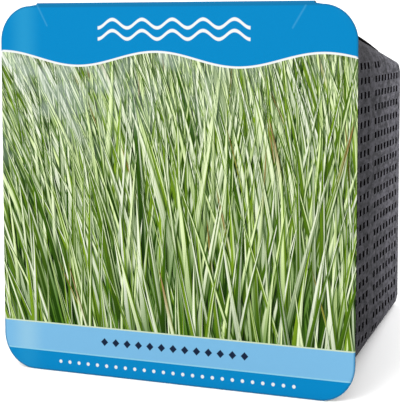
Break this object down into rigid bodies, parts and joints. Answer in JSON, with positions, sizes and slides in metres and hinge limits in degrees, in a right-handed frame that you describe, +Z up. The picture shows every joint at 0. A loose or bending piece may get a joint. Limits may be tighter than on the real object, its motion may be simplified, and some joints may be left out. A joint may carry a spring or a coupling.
{
  "type": "pond planting basket with printed cover card",
  "caption": "Square tapered basket with slotted walls, filled with soil, lying on its side; a printed card with rounded corners covers its opening and folds back over its top wall.",
  "frame": {"origin": "centre of the bounding box's underside, on the surface that the basket lies on", "axes": "+Z up; +Y from the covered opening towards the basket's base; +X to the right as the card is read"},
  "size_m": [0.18, 0.1466, 0.1701],
  "materials": {
    "basket_plastic": "satin",
    "card_print": "gloss",
    "pond_soil": "matte"
  },
  "bodies": {
    "root": {"basket": "basket_plastic", "cover_card": "card_print", "soil": "pond_soil"}
  },
  "joints": []
}
